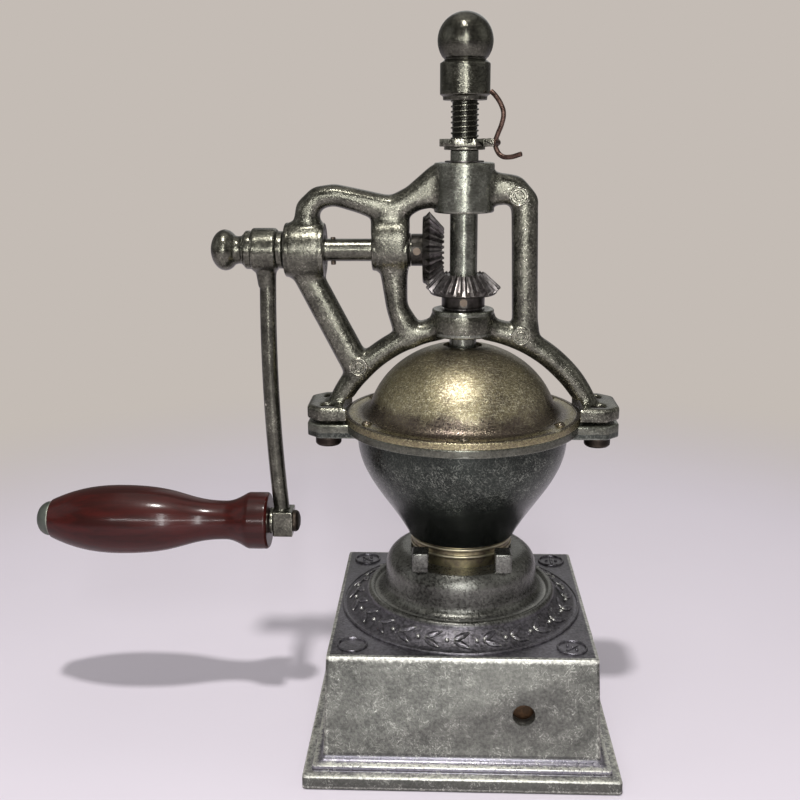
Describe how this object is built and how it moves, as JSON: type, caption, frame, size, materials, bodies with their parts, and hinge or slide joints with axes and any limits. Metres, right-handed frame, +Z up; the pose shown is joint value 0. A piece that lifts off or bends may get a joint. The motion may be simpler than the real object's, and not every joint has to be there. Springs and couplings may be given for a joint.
{
  "type": "hand-cranked coffee mill",
  "caption": "Table coffee mill of cast metal: a square base with a drawer, a grinding bowl with a domed lid, and an arched frame with bevel gears and a side crank.",
  "frame": {"origin": "centre of the underside of the square base", "axes": "+Z up, +X to the right along the crank shaft with the crank at -X, +Y towards the drawer"},
  "size_m": [0.2465, 0.1371, 0.2945],
  "materials": {
    "base metal": "worn antique pewter, fine scratches",
    "frame metal": "antique pewter, mottled, worn bright edges",
    "bowl metal": "dark polished, light flecks",
    "dome brass": "antique brass, speckled",
    "brass": "dull antique brass",
    "shaft steel": "turned, worn",
    "gear steel": "dark, oiled",
    "burr steel": "hardened steel",
    "brown steel": "copper-brown patina",
    "dark screws": "blackened",
    "sheet metal": "black paint",
    "crank metal": "antique pewter, dark",
    "cap metal": "matte grey-green",
    "grip wood": "dark red-brown, glossy lacquer",
    "drawer wood": "oiled hardwood"
  },
  "bodies": {
    "mill": {"base_housing": "base metal", "base_plate": "sheet metal", "base_screws": "dark screws", "burr_ring": "brass", "outer_burr": "burr steel", "burr_bridge": "brass", "bridge_screws": "dark screws", "bowl": "bowl metal", "bowl_screws": "dark screws", "dome_lid": "dome brass", "lid_rivets": "dome brass", "support_frame": "frame metal", "ear_bolts": "brown steel", "top_bush": "gear steel", "lower_bush": "gear steel", "shaft_bushes": "gear steel"},
    "crank": {"crank_shaft": "shaft steel", "shaft_pin": "dark screws", "shaft_gear": "gear steel", "shaft_gear_screw": "dark screws", "crank_spacer": "shaft steel", "crank_arm": "crank metal", "crank_washer": "crank metal", "ball_nut": "crank metal", "grip_washer": "shaft steel", "grip_axle": "dark screws", "grip_cap": "cap metal"},
    "hand_grip": {"grip": "grip wood"},
    "grinding_spindle": {"spindle": "shaft steel", "spindle_gear": "gear steel", "spindle_gear_screw": "dark screws", "inner_burr": "burr steel", "burr_nut": "dark screws", "top_knob": "frame metal"},
    "adjuster": {"lock_washer": "shaft steel", "adjusting_nut": "shaft steel"},
    "clip": {"spring_clip": "brown steel"},
    "lid_shutter": {"shutter": "dome brass", "shutter_knob": "brass"},
    "drawer": {"drawer_tray": "drawer wood", "drawer_front": "base metal", "drawer_knob": "brass", "drawer_screw": "dark screws"}
  },
  "joints": [
    {"name": "crank_turn", "type": "hinge", "parent": "mill", "child": "crank", "pos_m": [-0.045, 0, 0.20428], "axis": [1, 0, 0], "continuous": true},
    {"name": "spindle_turn", "type": "hinge", "parent": "mill", "child": "grinding_spindle", "pos_m": [0, 0, 0.1], "axis": [0, 0, 1], "continuous": true},
    {"name": "grip_spin", "type": "hinge", "parent": "crank", "child": "hand_grip", "pos_m": [-0.12928, 0, 0.08848], "axis": [1, 0, 0], "continuous": true},
    {"name": "adjuster_turn", "type": "hinge", "parent": "grinding_spindle", "child": "adjuster", "pos_m": [0, 0, 0.24318], "axis": [0, 0, 1], "range_deg": [-180, 180]},
    {"name": "clip_swing", "type": "hinge", "parent": "adjuster", "child": "clip", "pos_m": [0.01166, -0.0062, 0.24593], "axis": [0.4695, 0.8829, 0], "range_deg": [0, 35], "stiffness_Nm_per_rad": 0.02},
    {"name": "shutter_turn", "type": "hinge", "parent": "mill", "child": "lid_shutter", "pos_m": [0, 0, 0.14], "axis": [0, 0, 1], "range_deg": [-56, 0]},
    {"name": "drawer_slide", "type": "slide", "parent": "mill", "child": "drawer", "axis": [0, 1, 0], "range_m": [0, 0.075]}
  ],
  "couplings": [
    {"joint": "spindle_turn", "follows": "crank_turn", "ratio": -1}
  ]
}
